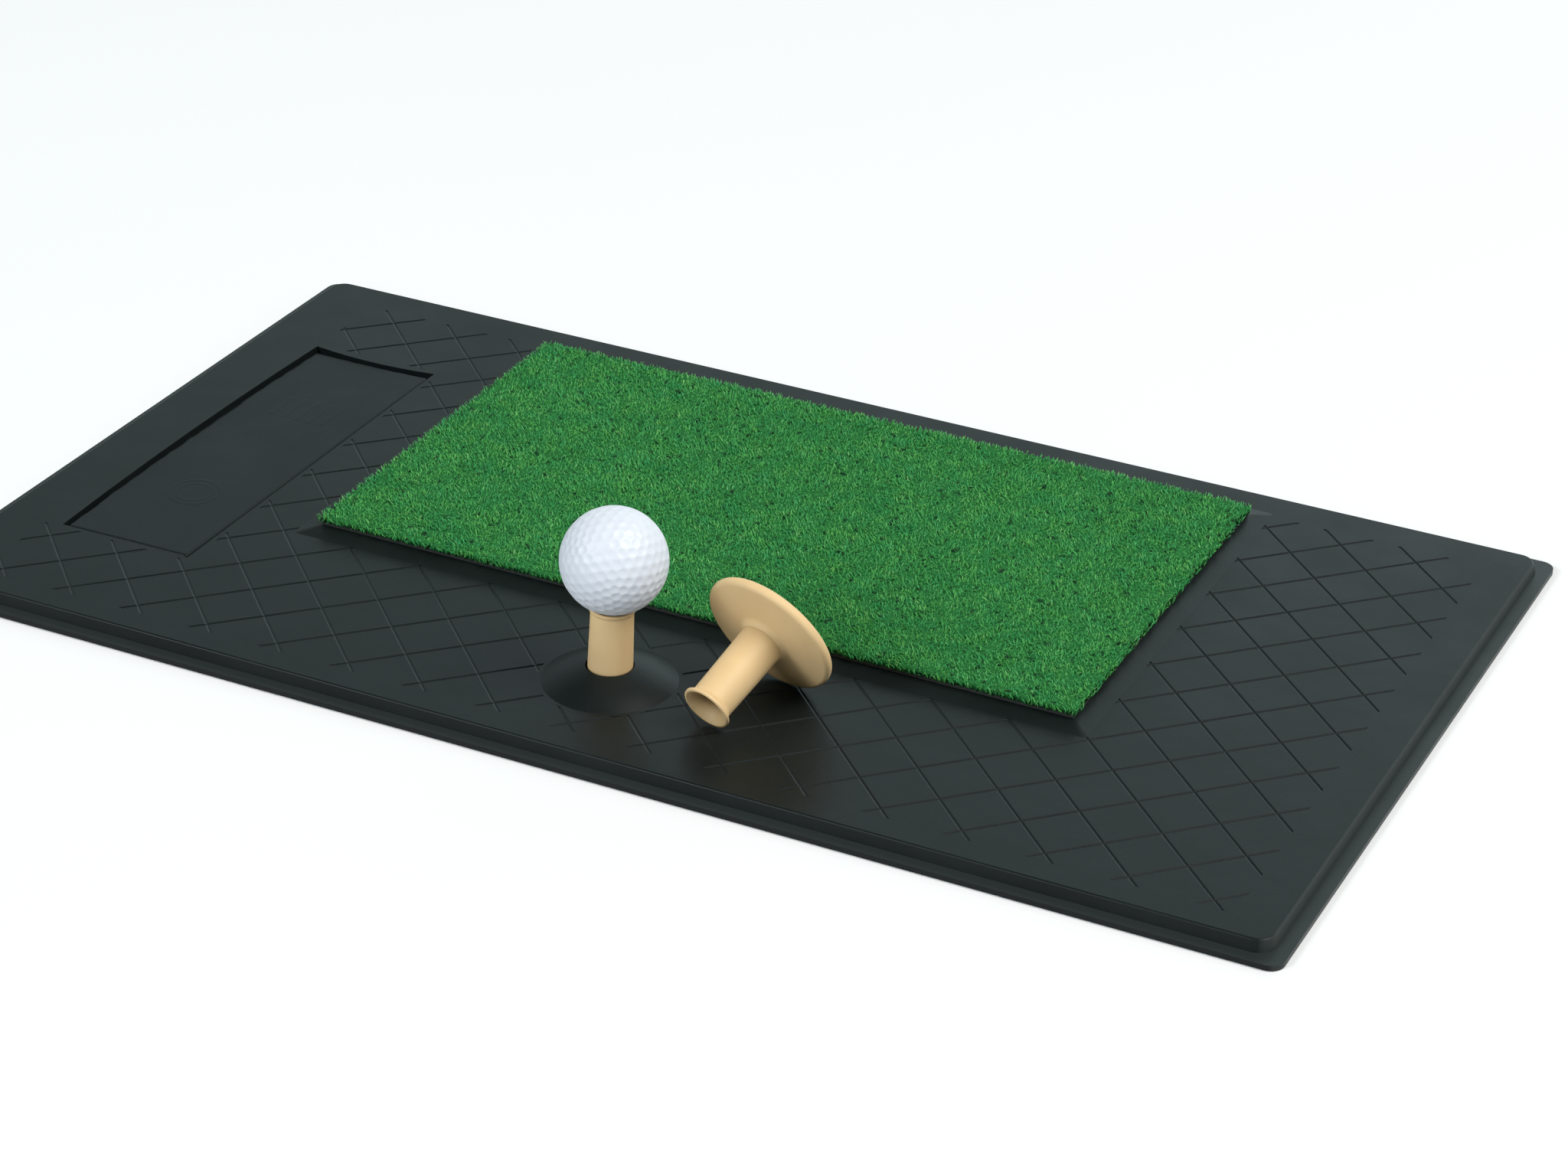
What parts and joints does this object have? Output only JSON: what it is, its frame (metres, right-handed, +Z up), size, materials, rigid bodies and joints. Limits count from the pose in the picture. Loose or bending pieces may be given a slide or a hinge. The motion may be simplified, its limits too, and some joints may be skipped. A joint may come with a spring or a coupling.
{
  "type": "golf hitting mat",
  "caption": "Black rubber golf hitting mat with a green turf strip, a rubber tee set up through its base holding a golf ball, and a spare rubber tee lying on top.",
  "frame": {"origin": "centre of the mat's underside, on the floor", "axes": "+X along the mat's long side, +Y away from the side where the tee stands, +Z up"},
  "size_m": [0.6, 0.34, 0.0811],
  "materials": {
    "mat_rubber": "semi-gloss moulded rubber",
    "plate_rubber": "fine-grained moulded rubber",
    "glue": "cured glue",
    "latex": "matte latex coating",
    "backing": "woven",
    "turf": "short curled nylon pile",
    "tee_rubber": "satin tan rubber",
    "ball_cover": "gloss, dimpled",
    "ball_core": "matte rubber"
  },
  "bodies": {
    "mat": {"rubber_mat": "mat_rubber", "plate_glue": "glue", "badge_plate": "plate_rubber", "turf_glue": "glue", "turf_latex_coating": "latex", "turf_woven_backing": "backing", "turf_pile": "turf"},
    "tee": {"tee": "tee_rubber"},
    "spare_tee": {"spare_tee": "tee_rubber"},
    "ball": {"ball_cover": "ball_cover", "ball_core": "ball_core"}
  },
  "joints": [
    {"name": "tee_pull_out", "type": "slide", "parent": "mat", "child": "tee", "axis": [-0.0299, -0.0143, -0.9995], "range_m": [0, 0.05]},
    {"name": "spare_tee_lift", "type": "slide", "parent": "mat", "child": "spare_tee", "axis": [0, 0, 1], "range_m": [0, 0.1]},
    {"name": "ball_lift", "type": "slide", "parent": "mat", "child": "ball", "axis": [0, 0, 1], "range_m": [0, 0.15]}
  ]
}
